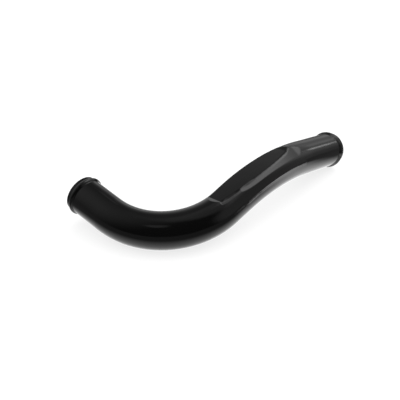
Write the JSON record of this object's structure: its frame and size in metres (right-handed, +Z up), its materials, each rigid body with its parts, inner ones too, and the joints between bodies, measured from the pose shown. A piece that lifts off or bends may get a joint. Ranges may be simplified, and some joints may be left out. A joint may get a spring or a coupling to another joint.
{
  "type": "coolant tube",
  "caption": "Bent round metal tube for coolant, painted gloss black, with a rolled hose bead near each open end and a long flat pressed into its top.",
  "frame": {"origin": "on the floor, below the middle of the tube's box as it lies at rest", "axes": "+Z up from the floor; +X along the long leg, towards the right open end; the short leg's open end faces +Y"},
  "size_m": [0.459, 0.2388, 0.0906],
  "materials": {
    "paint": "gloss black paint"
  },
  "bodies": {
    "root": {"coolant_tube": "paint"}
  },
  "joints": []
}
